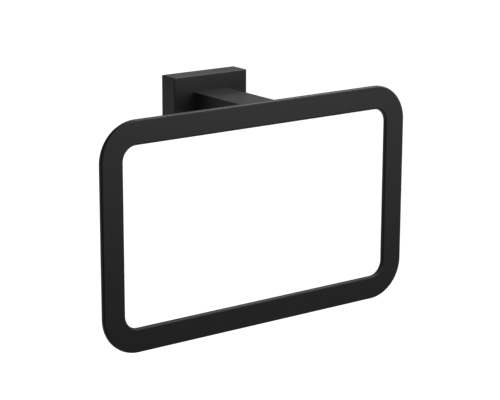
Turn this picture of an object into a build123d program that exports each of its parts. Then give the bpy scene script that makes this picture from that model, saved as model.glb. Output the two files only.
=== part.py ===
"""Towel ring: a flat rounded-rectangle hoop on a post, with a cover flange and a concealed wall bracket.

Millimetres. The origin is the middle of the flange's back, on the wall. +Y points into the wall,
+X to the right and +Z up, so the ring stands out towards -Y.
"""
import os
from math import radians, tan

from build123d import *

# Ring: a hoop of flat bar
ring_width = 200.0
ring_height = 123.5
ring_bar = 13.2
ring_thickness = 3.0
ring_corner_radius = 21.2
ring_edge_radius = 1.0

# Post, between the flange and the ring, whose front stands this far out from the wall
projection = 59.0
post_width = 23.2
post_height = 12.0
post_edge_radius = 0.5

# Flange: a cup against the wall
flange_width = 48.5
flange_height = 30.0
flange_depth = 12.0
flange_wall = 2.5
flange_front_wall = 3.0
flange_edge_radius = 0.5
cavity_corner_radius = 1.5

# Bracket inside the flange, with the room left beside it and under it
bracket_thickness = 6.0
bracket_side_room = 3.5
bracket_under_room = 6.5
bracket_edge_radius = 0.5
bracket_groove_depth = 1.5
wall_screw_spacing = 22.0
wall_screw_hole = 4.5
wall_screw_countersink = 8.6

# Set screw in the flange's underside, in a boss, with its point in the bracket's groove
set_screw_diameter = 4.0
set_screw_from_wall = 3.5
set_screw_recess = 0.4
set_screw_socket = 2.0
set_screw_socket_depth = 2.5
boss_width = 9.0
boss_height = 2.5
boss_setback = 1.0

# Countersunk screws that hold the post to the flange; wall screws have heads of the same angle
post_screw_diameter = 5.0
post_screw_length = 16.0
post_screw_spacing = 11.0
post_screw_head = 9.2
post_screw_socket = 3.0
post_screw_socket_depth = 1.8
post_screw_tip_chamfer = 0.5
tapped_hole_run_out = 2.0
countersink_angle = 90.0

# Fits: radial play in a tapped hole, radial play in a plain hole, play at the set screw's point
thread_play = 0.05
screw_hole_play = 0.25
seat_play = 0.1

# Planes and levels that the pieces share
ring_drop = ring_height / 2 - ring_bar / 2
cavity_depth = flange_depth - flange_front_wall
cavity_width = flange_width - 2 * flange_wall
cavity_height = flange_height - 2 * flange_wall
bracket_width = cavity_width - 2 * bracket_side_room
bracket_height = cavity_height - bracket_under_room
bracket_top = cavity_height / 2
bracket_bottom = bracket_top - bracket_height
bracket_middle = bracket_top - bracket_height / 2
set_screw_y = -set_screw_from_wall
set_screw_foot = -flange_height / 2 + set_screw_recess
set_screw_point = bracket_bottom + bracket_groove_depth - seat_play
post_screw_x = post_screw_spacing / 2
post_screw_top = -cavity_depth
post_screw_tip = post_screw_top - post_screw_length
post_screw_head_height = (post_screw_head - post_screw_diameter) / 2 / tan(radians(countersink_angle / 2))
post_hole_depth = post_screw_length - flange_front_wall + tapped_hole_run_out

# Sketches on the wall plane and its offsets are seen from the room: X right, Z up, extruded outwards
wall_plane = Plane((0, 0, 0), x_dir=(1, 0, 0), z_dir=(0, -1, 0))
flange_front_plane = wall_plane.offset(flange_depth)
bracket_front_plane = wall_plane.offset(bracket_thickness)
ring_back_plane = wall_plane.offset(projection - ring_thickness)
cavity_floor_plane = Plane((0, -cavity_depth, 0), x_dir=(1, 0, 0), z_dir=(0, 1, 0))

os.makedirs("parts", exist_ok=True)

# Ring: the hoop's outline less its window, with concentric corners and every edge rounded
with BuildPart() as ring:
    with BuildSketch(ring_back_plane):
        with Locations((0, -ring_drop)):
            RectangleRounded(ring_width, ring_height, ring_corner_radius)
            RectangleRounded(
                ring_width - 2 * ring_bar,
                ring_height - 2 * ring_bar,
                ring_corner_radius - ring_bar,
                mode=Mode.SUBTRACT,
            )
    extrude(amount=ring_thickness)
    fillet(ring.faces().filter_by(Axis.Y).edges(), radius=ring_edge_radius)
ring.part.label = "ring"
export_step(ring.part, "parts/ring.step")

# Post: a bar with rounded long edges and two blind tapped holes in its back end
with BuildPart() as post:
    with BuildSketch(flange_front_plane):
        RectangleRounded(post_width, post_height, post_edge_radius)
    extrude(amount=projection - ring_thickness - flange_depth)
    with BuildSketch(flange_front_plane):
        with GridLocations(post_screw_spacing, 0, 2, 1):
            Circle(post_screw_diameter / 2 + thread_play)
    extrude(amount=post_hole_depth, mode=Mode.SUBTRACT)
post.part.label = "post"
export_step(post.part, "parts/post.step")

# Flange: a cup with rounded front edges, a boss for the set screw and countersunk holes for the post screws
with BuildPart() as flange:
    with BuildSketch(wall_plane):
        RectangleRounded(flange_width, flange_height, flange_edge_radius)
    extrude(amount=flange_depth)
    fillet(flange.faces().sort_by(Axis.Y)[0].edges(), radius=flange_edge_radius)
    with BuildSketch(wall_plane):
        RectangleRounded(cavity_width, cavity_height, cavity_corner_radius)
    extrude(amount=cavity_depth, mode=Mode.SUBTRACT)
    with BuildSketch(wall_plane.offset(boss_setback)):
        with Locations((0, -cavity_height / 2)):
            Rectangle(boss_width, boss_height, align=(Align.CENTER, Align.MIN))
    extrude(amount=cavity_depth - boss_setback)
    with Locations(cavity_floor_plane):
        with GridLocations(post_screw_spacing, 0, 2, 1):
            CounterSinkHole(
                radius=post_screw_diameter / 2 + screw_hole_play,
                counter_sink_radius=post_screw_head / 2 + screw_hole_play,
                depth=flange_front_wall,
                counter_sink_angle=countersink_angle,
            )
    with BuildSketch(Plane.XY.offset(-flange_height / 2)):
        with Locations((0, set_screw_y)):
            Circle(set_screw_diameter / 2 + thread_play)
    extrude(amount=flange_wall + boss_height, mode=Mode.SUBTRACT)
flange.part.label = "flange"
export_step(flange.part, "parts/flange.step")

# Bracket: a block with rounded front edges, a right-angled groove under it and two countersunk screw holes
with BuildPart() as wall_bracket:
    with BuildSketch(wall_plane):
        with Locations((0, bracket_middle)):
            Rectangle(bracket_width, bracket_height)
    extrude(amount=bracket_thickness)
    fillet(wall_bracket.faces().sort_by(Axis.Y)[0].edges(), radius=bracket_edge_radius)
    with BuildSketch(Plane.YZ):
        with BuildLine():
            Polyline(
                (set_screw_y - bracket_groove_depth, bracket_bottom),
                (set_screw_y, bracket_bottom + bracket_groove_depth),
                (set_screw_y + bracket_groove_depth, bracket_bottom),
                close=True,
            )
        make_face()
    extrude(amount=bracket_width / 2, both=True, mode=Mode.SUBTRACT)
    with Locations(bracket_front_plane):
        with Locations((0, bracket_middle)):
            with GridLocations(wall_screw_spacing, 0, 2, 1):
                CounterSinkHole(
                    radius=wall_screw_hole / 2,
                    counter_sink_radius=wall_screw_countersink / 2,
                    depth=bracket_thickness,
                    counter_sink_angle=countersink_angle,
                )
wall_bracket.part.label = "wall_bracket"
export_step(wall_bracket.part, "parts/wall_bracket.step")

# Post screws: a head flush with the cavity's floor, a shank with a chamfered tip, a hexagon socket
with BuildPart() as post_screws:
    with BuildSketch(Plane.XY):
        with BuildLine():
            Polyline(
                (post_screw_x, post_screw_top),
                (post_screw_x + post_screw_head / 2, post_screw_top),
                (post_screw_x + post_screw_diameter / 2, post_screw_top - post_screw_head_height),
                (post_screw_x + post_screw_diameter / 2, post_screw_tip + post_screw_tip_chamfer),
                (post_screw_x + post_screw_diameter / 2 - post_screw_tip_chamfer, post_screw_tip),
                (post_screw_x, post_screw_tip),
                close=True,
            )
        make_face()
    revolve(axis=Axis((post_screw_x, 0, 0), (0, 1, 0)))
    with BuildSketch(wall_plane.offset(cavity_depth)):
        with Locations((post_screw_x, 0)):
            RegularPolygon(post_screw_socket / 2, side_count=6, major_radius=False)
    extrude(amount=post_screw_socket_depth, mode=Mode.SUBTRACT)
    mirror(about=Plane.YZ)
post_screws.part.label = "post_screws"
export_step(post_screws.part, "parts/post_screws.step")

# Set screw: a right-angled cone point up in the bracket's groove, a hexagon socket in its foot
with BuildPart() as set_screw:
    with BuildSketch(Plane.YZ):
        with BuildLine():
            Polyline(
                (set_screw_y, set_screw_foot),
                (set_screw_y + set_screw_diameter / 2, set_screw_foot),
                (set_screw_y + set_screw_diameter / 2, set_screw_point - set_screw_diameter / 2),
                (set_screw_y, set_screw_point),
                close=True,
            )
        make_face()
    revolve(axis=Axis((0, set_screw_y, 0), (0, 0, 1)))
    with BuildSketch(Plane.XY.offset(set_screw_foot)):
        with Locations((0, set_screw_y)):
            RegularPolygon(set_screw_socket / 2, side_count=6, major_radius=False)
    extrude(amount=set_screw_socket_depth, mode=Mode.SUBTRACT)
set_screw.part.label = "set_screw"
export_step(set_screw.part, "parts/set_screw.step")
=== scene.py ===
"""Finishes, threaded screws and a white studio for a wall-mounted towel ring.

Metres, in the frame of the solids: the origin is the middle of the flange's back on the wall, +Y points
into the wall, +X to the right and +Z up.
"""
from math import radians
from typing import NamedTuple

import bpy
import numpy as np
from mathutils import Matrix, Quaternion, Vector


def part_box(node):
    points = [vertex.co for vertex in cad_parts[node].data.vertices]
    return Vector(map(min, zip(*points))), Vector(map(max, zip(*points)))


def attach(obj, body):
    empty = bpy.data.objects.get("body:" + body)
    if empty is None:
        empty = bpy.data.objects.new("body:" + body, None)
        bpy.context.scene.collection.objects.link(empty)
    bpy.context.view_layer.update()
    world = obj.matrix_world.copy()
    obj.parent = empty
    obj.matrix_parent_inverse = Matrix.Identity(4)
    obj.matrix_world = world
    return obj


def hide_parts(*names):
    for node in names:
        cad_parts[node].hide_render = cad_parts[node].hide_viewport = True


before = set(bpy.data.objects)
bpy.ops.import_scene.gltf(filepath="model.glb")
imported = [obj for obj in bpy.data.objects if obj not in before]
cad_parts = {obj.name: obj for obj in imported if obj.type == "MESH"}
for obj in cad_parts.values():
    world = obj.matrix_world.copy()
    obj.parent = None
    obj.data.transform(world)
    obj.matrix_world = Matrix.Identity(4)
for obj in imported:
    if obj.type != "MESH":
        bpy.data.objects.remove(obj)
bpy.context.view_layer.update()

bl_info = {
    "name": "Towel Ring Finishes",
    "version": (1, 0, 0),
    "blender": (4, 5, 0),
    "location": "3D View > Sidebar > Towel Ring",
    "description": "Coats a towel ring's pieces, threads its screws and sets it in a plain white studio",
    "category": "Object",
}

# Grid of a screw: columns round its axis and rows for each turn of its thread; least angle of a crisp edge
COLUMNS = 48
ROWS_PER_PITCH = 10
CRISP_ANGLE = radians(32)

# Section of a thread: shares of half a pitch that its flat root and its flank take; the rest is its crest
ROOT_SHARE = 0.1
FLANK_SHARE = 0.75

# Points on the curve between the floor and the backdrop
BEND_POINTS = 25

# Layers of finer noise on soft patches and on fine grain, the strength of each layer over the last, and
# the level that noise varies about
PATCH_LAYERS = 4.0
GRAIN_LAYERS = 2.0
LAYER_SHARE = 0.6
NOISE_MIDDLE = 0.5

# Places of the two colours and of their blend among a Mix node's sockets
MIX_FIRST = 6
MIX_SECOND = 7
MIX_RESULT = 2

BLACK = (0, 0, 0, 1)
WHITE = (1, 1, 1, 1)


class Lamp(NamedTuple):
    """A square soft lamp: its place round the lamps' aim in degrees and metres, its side and its watts."""

    name: str
    azimuth: float
    elevation: float
    distance: float
    side: float
    power: float


LAMPS = (
    Lamp("front_softbox", azimuth=30, elevation=10, distance=0.7, side=0.5, power=2.5),
    Lamp("left_softbox", azimuth=-30, elevation=40, distance=0.7, side=0.5, power=2.03),
    Lamp("right_softbox", azimuth=80, elevation=55, distance=0.45, side=0.3, power=3.02),
    Lamp("back_softbox", azimuth=160, elevation=40, distance=0.7, side=0.5, power=0.57),
)


class Screw(NamedTuple):
    """Sizes of a screw along its axis, from the face that holds its socket.

    The socket is given across its flats, the rim, the shank and the tip as radii, the rest as lengths.
    """

    socket: float
    socket_depth: float
    rim: float
    shank: float
    shank_start: float
    shank_end: float
    pitch: float
    thread_depth: float
    tip: float
    tip_start: float
    length: float


class Value:
    """A socket of a shader tree that takes part in Python arithmetic through Math nodes.

    The bar between two values gives the larger one.
    """

    def __init__(self, graph, socket):
        self.graph = graph
        self.socket = socket

    def math(self, operation, first, second):
        """The result of a Math node on two values or numbers."""
        node = self.graph.add("ShaderNodeMath", {"operation": operation}, {0: first, 1: second})
        return Value(self.graph, node.outputs[0])

    def __add__(self, other):
        return self.math("ADD", self, other)

    def __radd__(self, other):
        return self.math("ADD", other, self)

    def __sub__(self, other):
        return self.math("SUBTRACT", self, other)

    def __rsub__(self, other):
        return self.math("SUBTRACT", other, self)

    def __mul__(self, other):
        return self.math("MULTIPLY", self, other)

    def __rmul__(self, other):
        return self.math("MULTIPLY", other, self)

    def __or__(self, other):
        return self.math("MAXIMUM", self, other)


class Graph:
    """A shader tree that nodes are added to one call at a time."""

    def __init__(self, tree):
        self.tree = tree
        tree.nodes.clear()

    def add(self, kind, settings=None, sockets=None):
        """Add a node: its own settings are set first, then each socket gets a value or a link."""
        node = self.tree.nodes.new(kind)
        for key, value in (settings or {}).items():
            setattr(node, key, value)
        for key, value in (sockets or {}).items():
            if isinstance(value, Value):
                self.tree.links.new(value.socket, node.inputs[key])
            else:
                node.inputs[key].default_value = value
        return node

    def value(self, kind, output, settings=None, sockets=None):
        """Add a node and return one of its outputs for arithmetic."""
        return Value(self, self.add(kind, settings, sockets).outputs[output])

    def noise(self, place, size, layers):
        """Noise from 0 to 1 whose lumps are about one size apart, with layers of finer noise on them."""
        sockets = {"Vector": place, "Scale": 1 / size, "Detail": layers, "Roughness": LAYER_SHARE}
        return self.value("ShaderNodeTexNoise", "Fac", sockets=sockets)

    def blend(self, factor, first, second):
        """A colour between two colours."""
        sockets = {0: factor, MIX_FIRST: first, MIX_SECOND: second}
        return self.value("ShaderNodeMix", MIX_RESULT, {"data_type": "RGBA"}, sockets)

    def bump(self, relief, height):
        """A surface normal that follows a relief from 0 to 1, which is so many metres high."""
        sockets = {"Height": relief, "Strength": 1.0, "Distance": height}
        return self.value("ShaderNodeBump", "Normal", sockets=sockets)

    def principled(self, **sockets):
        """A principled shader. An underscore in a socket's name stands for a space."""
        named = {key.replace("_", " "): value for key, value in sockets.items()}
        return self.value("ShaderNodeBsdfPrincipled", "BSDF", sockets=named)

    def finish(self, shader):
        """End a material's tree in a shader."""
        self.add("ShaderNodeOutputMaterial", sockets={"Surface": shader})


def new_material(name):
    """An empty node material and its graph."""
    material = bpy.data.materials.new(name)
    material.use_nodes = True
    return material, Graph(material.node_tree)


def black_coating(settings):
    """Matte black coating: near-black with faint clouds, a satin gloss and a fine pebbled skin."""
    material, graph = new_material("matte_black_coating")
    place = graph.value("ShaderNodeTexCoord", "Object")
    clouds = graph.noise(place, settings.cloud_size, PATCH_LAYERS)
    pebbles = graph.noise(place, settings.pebble_size, GRAIN_LAYERS)
    roughness = (
        settings.roughness
        + settings.cloud_spread * (clouds - NOISE_MIDDLE)
        + settings.pebble_spread * (pebbles - NOISE_MIDDLE)
    )
    shader = graph.principled(
        Base_Color=graph.blend(clouds, settings.deep_colour, settings.pale_colour),
        Roughness=roughness,
        Specular_IOR_Level=settings.gloss,
        Normal=graph.bump(pebbles, settings.pebble_height),
    )
    graph.finish(shader)
    return material


def cast_zinc(settings):
    """Bare cast zinc: grey metal with rough dull patches and the fine grain of the mould."""
    material, graph = new_material("rough_cast_zinc")
    place = graph.value("ShaderNodeTexCoord", "Object")
    patches = graph.noise(place, settings.patch_size, PATCH_LAYERS)
    grain = graph.noise(place, settings.grain_size, GRAIN_LAYERS)
    roughness = (
        settings.roughness
        - settings.patch_spread * (patches - NOISE_MIDDLE)
        + settings.grain_spread * (grain - NOISE_MIDDLE)
    )
    shader = graph.principled(
        Base_Color=graph.blend(patches, settings.dull_colour, settings.bright_colour),
        Metallic=1.0,
        Roughness=roughness,
        Normal=graph.bump(grain, settings.grain_height),
    )
    graph.finish(shader)
    return material


def screw_steel(name, settings, dull, bright, roughness):
    """Plated or blackened steel: metal with a cloudy film and fine tool marks."""
    material, graph = new_material(name)
    place = graph.value("ShaderNodeTexCoord", "Object")
    film = graph.noise(place, settings.film_size, PATCH_LAYERS)
    marks = graph.noise(place, settings.mark_size, GRAIN_LAYERS)
    varied = (
        roughness
        - settings.film_spread * (film - NOISE_MIDDLE)
        + settings.mark_spread * (marks - NOISE_MIDDLE)
    )
    shader = graph.principled(
        Base_Color=graph.blend(film, dull, bright),
        Metallic=1.0,
        Roughness=varied,
        Normal=graph.bump(marks, settings.mark_height),
    )
    graph.finish(shader)
    return material


def sweep_paint(settings):
    """Pale paint that reads white in the picture, glows less in reflections and is clear from behind.

    The lamps light the paint close by, so its own glow grows with the distance from the object.
    """
    material, graph = new_material("sweep_paint")
    path = graph.add("ShaderNodeLightPath")
    seen = Value(graph, path.outputs["Is Camera Ray"])
    mirrored = Value(graph, path.outputs["Is Glossy Ray"])
    passed = Value(graph, path.outputs["Is Transmission Ray"])
    place = graph.value("ShaderNodeTexCoord", "Object")
    away = graph.value("ShaderNodeVectorMath", "Value", {"operation": "LENGTH"}, {0: place})
    near, far = settings.lamp_reach
    spread = {"Value": away, "From Min": near, "From Max": far, "To Min": settings.near_glow, "To Max": 1.0}
    level = graph.value("ShaderNodeMapRange", "Result", {"interpolation_type": "SMOOTHSTEP"}, spread)
    share = seen | passed | settings.mirror_share * mirrored
    paint = graph.principled(
        Base_Color=settings.paint_colour,
        Roughness=settings.paint_roughness,
        Specular_IOR_Level=0.0,
        Emission_Color=graph.blend(level * share, BLACK, WHITE),
        Emission_Strength=1.0,
    )
    clear = graph.value("ShaderNodeBsdfTransparent", "BSDF")
    behind = graph.value("ShaderNodeNewGeometry", "Backfacing")
    graph.finish(graph.value("ShaderNodeMixShader", 0, sockets={0: behind, 1: paint, 2: clear}))
    material.cycles.emission_sampling = "NONE"
    return material


def hexagon(turn, across_flats):
    """Radius of a hexagon: half its width over the cosine of the angle from the middle of a flat."""
    sixth = np.pi / 3
    return across_flats / 2 / np.cos(turn % sixth - sixth / 2)


def thread_radius(turn, along, screw):
    """Radius of a right-handed thread: a clipped triangle wave of the helix's phase, faded at its ends."""
    phase = (along / screw.pitch - turn / (2 * np.pi)) % 1.0
    wave = 1.0 - np.abs(2.0 * phase - 1.0)
    ridge = np.clip((wave - ROOT_SHARE) / FLANK_SHARE, 0.0, 1.0)
    room = np.minimum(along - screw.shank_start, screw.shank_end - along)
    fade = np.clip(room / screw.pitch, 0.0, 1.0)
    return screw.shank - screw.thread_depth * fade * (1.0 - ridge)


def lathe(turn, radius, height, first, last):
    """Points and faces of a closed surface round the Z axis.

    A point of the grid lies at its own radius and its column's angle across the axis, and at its row's
    height along it. One point on the axis closes each end with a fan.
    """
    rows, columns = radius.shape
    level = np.broadcast_to(height[:, None], radius.shape)
    grid = np.stack([radius * np.cos(turn), radius * np.sin(turn), level], -1)
    points = np.vstack([grid.reshape(-1, 3), [[0.0, 0.0, first], [0.0, 0.0, last]]])
    column = np.arange(columns)
    after = (column + 1) % columns
    row = np.arange(rows - 1)[:, None] * columns
    quads = np.stack([row + column, row + after, row + columns + after, row + columns + column], -1)
    last_row = (rows - 1) * columns
    first_point = np.full(columns, rows * columns)
    opening = np.stack([first_point, after, column], -1)
    closing = np.stack([last_row + column, last_row + after, first_point + 1], -1)
    return points, quads.reshape(-1, 4).tolist() + opening.tolist() + closing.tolist()


def screw_surface(screw):
    """Points and faces of a screw that runs up the Z axis from the face that holds its socket.

    Rows lead from the socket's floor out over the face, along the thread and in to the tip. Each row is a
    closed curve round the axis: hexagons in the socket, the thread's radius at evenly spaced heights on the
    shank, and circles at the rim and the tip.
    """
    turn = np.arange(COLUMNS) * 2 * np.pi / COLUMNS
    turns = (screw.shank_end - screw.shank_start) / screw.pitch
    shank = np.linspace(screw.shank_start, screw.shank_end, int(round(turns * ROWS_PER_PITCH)) + 1)
    flats = hexagon(turn, screw.socket)
    rim = np.full(COLUMNS, screw.rim)
    tip = np.full(COLUMNS, screw.tip)
    radius = np.vstack([flats, flats, rim, thread_radius(turn, shank[:, None], screw), tip])
    height = np.concatenate([[screw.socket_depth, 0.0, 0.0], shank, [screw.tip_start]])
    return lathe(turn, radius, height, screw.socket_depth, screw.length)


def add_object(name, data):
    """A new object in the scene for a mesh, a lamp or a camera."""
    thing = bpy.data.objects.new(name, data)
    bpy.context.scene.collection.objects.link(thing)
    return thing


def smooth_mesh(name, points, faces, material):
    """A smooth mesh in one material."""
    mesh = bpy.data.meshes.new(name)
    mesh.from_pydata(points.tolist(), [], faces)
    mesh.shade_smooth()
    mesh.materials.append(material)
    return mesh


def add_piece(name, points, faces, material, node):
    """A mesh piece that stands for a node of the solids, with crisp edges between smooth faces."""
    mesh = smooth_mesh(name, points, faces, material)
    mesh.set_sharp_from_angle(angle=CRISP_ANGLE)
    piece = add_object(name, mesh)
    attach(piece, "root")
    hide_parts(node)


def cover(node, material):
    """Put one material in every slot of a node of the solids."""
    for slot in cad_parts[node].material_slots:
        slot.material = material


def direction(azimuth, elevation):
    """Unit vector towards a place round the object: azimuth to the right of the front, then elevation."""
    turn = Quaternion((0, 0, 1), azimuth)
    rise = Quaternion((1, 0, 0), -elevation)
    return turn @ rise @ Vector((0, -1, 0))


def stand_off(thing, target, azimuth, elevation, distance):
    """Put a lamp or the camera at a place round its target and turn it to face the target."""
    out = direction(azimuth, elevation)
    thing.location = Vector(target) + out * distance
    thing.rotation_mode = "QUATERNION"
    thing.rotation_quaternion = (-out).to_track_quat("-Z", "Y")


class CoatingSettings(bpy.types.PropertyGroup):
    """The black coating of the pieces that show."""

    deep_colour: bpy.props.FloatVectorProperty(
        name="Deep colour", description="Darkest colour of the coating", subtype="COLOR", size=4,
        default=(0.0115, 0.0115, 0.0116, 1),
    )
    pale_colour: bpy.props.FloatVectorProperty(
        name="Pale colour", description="Palest colour of the coating", subtype="COLOR", size=4,
        default=(0.0135, 0.0135, 0.0136, 1),
    )
    roughness: bpy.props.FloatProperty(
        name="Roughness", description="Mean roughness", subtype="FACTOR", default=0.44, min=0, max=1
    )
    gloss: bpy.props.FloatProperty(
        name="Gloss", description="Strength of reflections", subtype="FACTOR", default=0.2, min=0, max=1
    )
    cloud_size: bpy.props.FloatProperty(
        name="Clouds", description="Width of faint cloudy patches", unit="LENGTH", default=0.0167
    )
    cloud_spread: bpy.props.FloatProperty(
        name="Cloud spread", description="Change of roughness over clouds", subtype="FACTOR", default=0.08
    )
    pebble_size: bpy.props.FloatProperty(
        name="Pebbles", description="Width of the skin's pebbles", unit="LENGTH", default=0.00045
    )
    pebble_spread: bpy.props.FloatProperty(
        name="Pebble spread", description="Change of roughness over pebbles", subtype="FACTOR", default=0.06
    )
    pebble_height: bpy.props.FloatProperty(
        name="Pebble height", description="Height of the skin's pebbles", unit="LENGTH", default=0.000016
    )


class BracketSettings(bpy.types.PropertyGroup):
    """The bare cast metal of the hidden wall bracket."""

    dull_colour: bpy.props.FloatVectorProperty(
        name="Dull zinc", description="Colour of dull patches", subtype="COLOR", size=4,
        default=(0.29, 0.30, 0.32, 1),
    )
    bright_colour: bpy.props.FloatVectorProperty(
        name="Bright zinc", description="Colour of clean metal", subtype="COLOR", size=4,
        default=(0.65, 0.66, 0.68, 1),
    )
    roughness: bpy.props.FloatProperty(
        name="Roughness", description="Mean roughness", subtype="FACTOR", default=0.505, min=0, max=1
    )
    patch_size: bpy.props.FloatProperty(
        name="Patches", description="Width of dull patches", unit="LENGTH", default=0.007
    )
    patch_spread: bpy.props.FloatProperty(
        name="Patch spread", description="Change of roughness over patches", subtype="FACTOR", default=0.25
    )
    grain_size: bpy.props.FloatProperty(
        name="Grain", description="Width of the mould's grain", unit="LENGTH", default=0.00038
    )
    grain_spread: bpy.props.FloatProperty(
        name="Grain spread", description="Change of roughness over grain", subtype="FACTOR", default=0.1
    )
    grain_height: bpy.props.FloatProperty(
        name="Grain height", description="Height of the mould's grain", unit="LENGTH", default=0.00005
    )


class ScrewSettings(bpy.types.PropertyGroup):
    """Metals, threads and sockets of the screws."""

    plating_dull: bpy.props.FloatVectorProperty(
        name="Dull plating", description="Post screws' darker film", subtype="COLOR", size=4,
        default=(0.50, 0.51, 0.53, 1),
    )
    plating_bright: bpy.props.FloatVectorProperty(
        name="Bright plating", description="Post screws' clean plating", subtype="COLOR", size=4,
        default=(0.70, 0.71, 0.74, 1),
    )
    plating_roughness: bpy.props.FloatProperty(
        name="Plating roughness", description="Post screws' mean roughness", subtype="FACTOR", default=0.32
    )
    oxide_dull: bpy.props.FloatVectorProperty(
        name="Dull oxide", description="Set screw's darker film", subtype="COLOR", size=4,
        default=(0.025, 0.025, 0.027, 1),
    )
    oxide_bright: bpy.props.FloatVectorProperty(
        name="Bright oxide", description="Set screw's rubbed film", subtype="COLOR", size=4,
        default=(0.06, 0.06, 0.064, 1),
    )
    oxide_roughness: bpy.props.FloatProperty(
        name="Oxide roughness", description="Set screw's mean roughness", subtype="FACTOR", default=0.38
    )
    film_size: bpy.props.FloatProperty(
        name="Film patches", description="Width of patches in the film", unit="LENGTH", default=0.0024
    )
    film_spread: bpy.props.FloatProperty(
        name="Film spread", description="Change of roughness over the film", subtype="FACTOR", default=0.16
    )
    mark_size: bpy.props.FloatProperty(
        name="Tool marks", description="Width of tool marks", unit="LENGTH", default=0.00019
    )
    mark_spread: bpy.props.FloatProperty(
        name="Mark spread", description="Change of roughness over marks", subtype="FACTOR", default=0.08
    )
    mark_height: bpy.props.FloatProperty(
        name="Mark height", description="Height of tool marks", unit="LENGTH", default=0.000006
    )
    thread_share: bpy.props.FloatProperty(
        name="Thread share", description="Depth of a thread over its pitch", subtype="FACTOR", default=0.54
    )
    post_shank: bpy.props.FloatProperty(
        name="Post screw", description="Diameter over the thread", unit="LENGTH", default=0.005
    )
    post_pitch: bpy.props.FloatProperty(
        name="Post screw pitch", description="Advance in one turn", unit="LENGTH", default=0.0008
    )
    post_socket: bpy.props.FloatProperty(
        name="Post screw socket", description="Width across flats", unit="LENGTH", default=0.003
    )
    post_socket_depth: bpy.props.FloatProperty(
        name="Post screw socket depth", description="Depth of its socket", unit="LENGTH", default=0.0018
    )
    post_tip: bpy.props.FloatProperty(
        name="Post screw tip", description="Chamfer at the tip", unit="LENGTH", default=0.0005
    )
    set_pitch: bpy.props.FloatProperty(
        name="Set screw pitch", description="Advance in one turn", unit="LENGTH", default=0.0007
    )
    set_socket: bpy.props.FloatProperty(
        name="Set screw socket", description="Width across flats", unit="LENGTH", default=0.002
    )
    set_socket_depth: bpy.props.FloatProperty(
        name="Set screw socket depth", description="Depth of its socket", unit="LENGTH", default=0.0025
    )
    set_point: bpy.props.FloatProperty(
        name="Set screw point", description="Radius where the point's last facets start", unit="LENGTH",
        default=0.0001,
    )


class StageSettings(bpy.types.PropertyGroup):
    """Camera, floor, backdrop and lamps of the studio."""

    camera_aim: bpy.props.FloatVectorProperty(
        name="Aim", description="Point in the middle of the picture", subtype="TRANSLATION", unit="LENGTH",
        default=(-0.00406, -0.05395, -0.04717),
    )
    camera_azimuth: bpy.props.FloatProperty(
        name="Azimuth", description="Turn of the camera to the right of the front", subtype="ANGLE",
        default=radians(-36.423),
    )
    camera_elevation: bpy.props.FloatProperty(
        name="Elevation", description="Height of the camera above the horizon", subtype="ANGLE",
        default=radians(14.435),
    )
    camera_roll: bpy.props.FloatProperty(
        name="Roll", description="Turn of the camera about its own line of sight", subtype="ANGLE",
        default=radians(0.197),
    )
    camera_distance: bpy.props.FloatProperty(
        name="Distance", description="From the camera to the aim", unit="LENGTH", default=0.9249
    )
    sensor: bpy.props.FloatProperty(
        name="Sensor", description="Width of the camera's sensor in millimetres", default=36.0
    )
    lens: bpy.props.FloatProperty(
        name="Lens", description="Focal length of the camera in millimetres", default=124.02
    )
    lamp_aim: bpy.props.FloatVectorProperty(
        name="Lamp aim", description="Point that the lamps face", subtype="TRANSLATION", unit="LENGTH",
        default=(0.0, -0.04, -0.05),
    )
    lamp_share: bpy.props.FloatProperty(
        name="Lamps", description="Share of the lamps' full power", subtype="FACTOR", default=1.0, min=0
    )
    floor_level: bpy.props.FloatProperty(
        name="Floor", description="Level of the floor", unit="LENGTH", default=-0.45
    )
    floor_front: bpy.props.FloatProperty(
        name="Floor front", description="Where the floor starts along Y", unit="LENGTH", default=-0.2
    )
    bend_start: bpy.props.FloatProperty(
        name="Bend start", description="Where the floor starts to curve up", unit="LENGTH", default=0.8
    )
    bend_radius: bpy.props.FloatProperty(
        name="Bend", description="Radius between the floor and the backdrop", unit="LENGTH", default=0.4
    )
    backdrop_top: bpy.props.FloatProperty(
        name="Backdrop", description="Level of the backdrop's top", unit="LENGTH", default=0.3
    )
    sweep_sides: bpy.props.FloatVectorProperty(
        name="Sides", description="Left and right ends of floor and backdrop", unit="LENGTH", size=2,
        default=(-1.8, 1.6),
    )
    paint_colour: bpy.props.FloatVectorProperty(
        name="Paint", description="Colour of floor and backdrop", subtype="COLOR", size=4,
        default=(0.8, 0.8, 0.8, 1),
    )
    paint_roughness: bpy.props.FloatProperty(
        name="Paint roughness", description="Roughness of floor and backdrop", subtype="FACTOR", default=0.9
    )
    near_glow: bpy.props.FloatProperty(
        name="Near glow", description="Glow of the paint where the lamps reach it", default=0.75, min=0
    )
    mirror_share: bpy.props.FloatProperty(
        name="Mirror share", description="Share of the glow in reflections", subtype="FACTOR", default=0.53
    )
    lamp_reach: bpy.props.FloatVectorProperty(
        name="Lamp reach", description="Distances over which glow makes up for fading lamps", unit="LENGTH",
        size=2, default=(0.45, 0.85),
    )


class TOWELRING_OT_coat_pieces(bpy.types.Operator):
    """Give the ring, the post and the flange their matte black coating"""

    bl_idname = "towelring.coat_pieces"
    bl_label = "Coat Ring, Post and Flange"

    def execute(self, context):
        material = black_coating(context.scene.towelring_coating)
        for name in ("ring", "post", "flange"):
            cover(name, material)
        return {"FINISHED"}


class TOWELRING_OT_cast_bracket(bpy.types.Operator):
    """Give the hidden wall bracket its bare cast metal"""

    bl_idname = "towelring.cast_bracket"
    bl_label = "Cast Wall Bracket"

    def execute(self, context):
        cover("wall_bracket", cast_zinc(context.scene.towelring_bracket))
        return {"FINISHED"}


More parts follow.
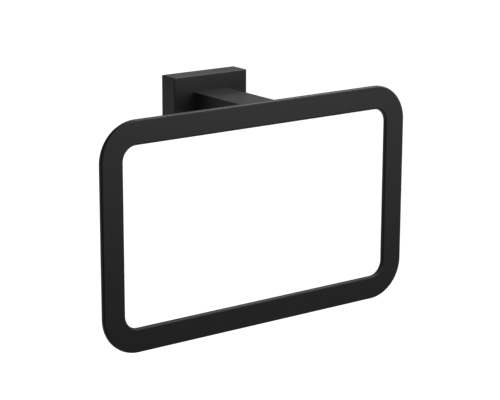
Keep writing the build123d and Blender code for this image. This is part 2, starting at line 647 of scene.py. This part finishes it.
class TOWELRING_OT_thread_post_screws(bpy.types.Operator):
    """Cut the two countersunk screws that hold the post to the flange"""

    bl_idname = "towelring.thread_post_screws"
    bl_label = "Thread Post Screws"

    def execute(self, context):
        settings = context.scene.towelring_screws
        low, high = (np.array(corner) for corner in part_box("post_screws"))
        length = high[1] - low[1]
        head = (high[2] - low[2]) / 2
        shank = settings.post_shank / 2
        # The head's side slopes at 45 degrees, so it is as high as it stands out from the shank
        points, faces = screw_surface(
            Screw(
                socket=settings.post_socket,
                socket_depth=settings.post_socket_depth,
                rim=head,
                shank=shank,
                shank_start=head - shank,
                shank_end=length - settings.post_tip,
                pitch=settings.post_pitch,
                thread_depth=settings.thread_share * settings.post_pitch,
                tip=shank - settings.post_tip,
                tip_start=length,
                length=length,
            )
        )
        across, up, along = points.T
        offset = high[0] - head
        middle = (low[2] + high[2]) / 2
        placed = np.vstack(
            [np.column_stack([across + side * offset, high[1] - along, up + middle]) for side in (-1, 1)]
        )
        second = [[index + len(points) for index in face] for face in faces]
        steel = screw_steel(
            "plated_screw_steel",
            settings,
            settings.plating_dull,
            settings.plating_bright,
            settings.plating_roughness,
        )
        add_piece("threaded_post_screws", placed, faces + second, steel, "post_screws")
        return {"FINISHED"}


class TOWELRING_OT_thread_set_screw(bpy.types.Operator):
    """Cut the pointed set screw under the flange"""

    bl_idname = "towelring.thread_set_screw"
    bl_label = "Thread Set Screw"

    def execute(self, context):
        settings = context.scene.towelring_screws
        low, high = (np.array(corner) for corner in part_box("set_screw"))
        length = high[2] - low[2]
        shank = (high[0] - low[0]) / 2
        depth = settings.thread_share * settings.set_pitch
        # The foot's chamfer and the point slope at 45 degrees, so each is as high as it is deep
        points, faces = screw_surface(
            Screw(
                socket=settings.set_socket,
                socket_depth=settings.set_socket_depth,
                rim=shank - depth / 2,
                shank=shank,
                shank_start=depth / 2,
                shank_end=length - shank,
                pitch=settings.set_pitch,
                thread_depth=depth,
                tip=settings.set_point,
                tip_start=length - settings.set_point,
                length=length,
            )
        )
        middle = (low + high) / 2
        placed = points + np.array([middle[0], middle[1], low[2]])
        steel = screw_steel(
            "blackened_screw_steel",
            settings,
            settings.oxide_dull,
            settings.oxide_bright,
            settings.oxide_roughness,
        )
        add_piece("threaded_set_screw", placed, faces, steel, "set_screw")
        return {"FINISHED"}


class TOWELRING_OT_set_stage(bpy.types.Operator):
    """Set up the floor, the backdrop, the lamps, the white surround and the camera"""

    bl_idname = "towelring.set_stage"
    bl_label = "Set Stage"

    def execute(self, context):
        settings = context.scene.towelring_stage
        context.scene.view_settings.view_transform = "Standard"
        self.add_sweep(settings)
        for lamp in LAMPS:
            self.add_lamp(settings, lamp)
        context.scene.world = self.white_surround()
        context.scene.camera = self.add_camera(settings)
        return {"FINISHED"}

    def add_sweep(self, settings):
        """Floor and backdrop in one sheet: a level run, a quarter circle and an upright run, along X."""
        turn = np.linspace(0, np.pi / 2, BEND_POINTS)
        out = settings.bend_start + settings.bend_radius * np.sin(turn)
        rise = settings.floor_level + settings.bend_radius * (1 - np.cos(turn))
        across = np.concatenate([[settings.floor_front], out, out[-1:]])
        up = np.concatenate([rise[:1], rise, [settings.backdrop_top]])
        sides = np.array(settings.sweep_sides)
        grid = np.broadcast_arrays(sides[None, :], across[:, None], up[:, None])
        points = np.stack(grid, -1).reshape(-1, 3)
        start = 2 * np.arange(len(across) - 1)
        faces = np.stack([start, start + 1, start + 3, start + 2], -1)
        mesh = smooth_mesh("sweep", points, faces.tolist(), sweep_paint(settings))
        sweep = add_object("sweep", mesh)

    def add_lamp(self, settings, lamp):
        """A soft lamp at its place round the lamps' aim, facing it."""
        light = bpy.data.lights.new(lamp.name, "AREA")
        light.shape = "SQUARE"
        light.size = lamp.side
        light.energy = settings.lamp_share * lamp.power
        stand = add_object(lamp.name, light)
        stand.visible_camera = False
        stand_off(stand, settings.lamp_aim, radians(lamp.azimuth), radians(lamp.elevation), lamp.distance)

    def white_surround(self):
        """White round the sweep wherever the camera looks past it, and no light of its own."""
        world = bpy.data.worlds.new("studio")
        world.use_nodes = True
        graph = Graph(world.node_tree)
        path = graph.add("ShaderNodeLightPath")
        seen = Value(graph, path.outputs["Is Camera Ray"])
        passed = Value(graph, path.outputs["Is Transmission Ray"])
        light = graph.value("ShaderNodeBackground", 0, sockets={"Strength": seen | passed, "Color": WHITE})
        graph.add("ShaderNodeOutputWorld", sockets={"Surface": light})
        return world

    def add_camera(self, settings):
        """A camera at its place round its aim, turned a little about its line of sight."""
        camera = bpy.data.cameras.new("camera")
        camera.sensor_width = settings.sensor
        camera.lens = settings.lens
        view = add_object("camera", camera)
        place = (settings.camera_azimuth, settings.camera_elevation, settings.camera_distance)
        stand_off(view, settings.camera_aim, *place)
        view.rotation_quaternion = view.rotation_quaternion @ Quaternion((0, 0, 1), settings.camera_roll)
        return view


class TOWELRING_PT_pieces(bpy.types.Panel):
    """Buttons and settings for the towel ring"""

    bl_label = "Towel Ring"
    bl_space_type = "VIEW_3D"
    bl_region_type = "UI"
    bl_category = "Towel Ring"

    def draw(self, context):
        for operator in OPERATORS:
            self.layout.operator(operator.bl_idname)
        for name in SETTINGS:
            box = self.layout.box()
            group = getattr(context.scene, name)
            for key in group.bl_rna.properties.keys():
                if key not in ("rna_type", "name"):
                    box.prop(group, key)


SETTINGS = {
    "towelring_coating": CoatingSettings,
    "towelring_bracket": BracketSettings,
    "towelring_screws": ScrewSettings,
    "towelring_stage": StageSettings,
}
OPERATORS = (
    TOWELRING_OT_coat_pieces,
    TOWELRING_OT_cast_bracket,
    TOWELRING_OT_thread_post_screws,
    TOWELRING_OT_thread_set_screw,
    TOWELRING_OT_set_stage,
)
CLASSES = (*SETTINGS.values(), *OPERATORS, TOWELRING_PT_pieces)


def register():
    for item in CLASSES:
        bpy.utils.register_class(item)
    for name, group in SETTINGS.items():
        setattr(bpy.types.Scene, name, bpy.props.PointerProperty(type=group))


def unregister():
    for name in SETTINGS:
        delattr(bpy.types.Scene, name)
    for item in reversed(CLASSES):
        bpy.utils.unregister_class(item)


def main():
    register()
    bpy.ops.towelring.coat_pieces()
    bpy.ops.towelring.cast_bracket()
    bpy.ops.towelring.thread_post_screws()
    bpy.ops.towelring.thread_set_screw()
    bpy.ops.towelring.set_stage()


if __name__ == "__main__":
    main()
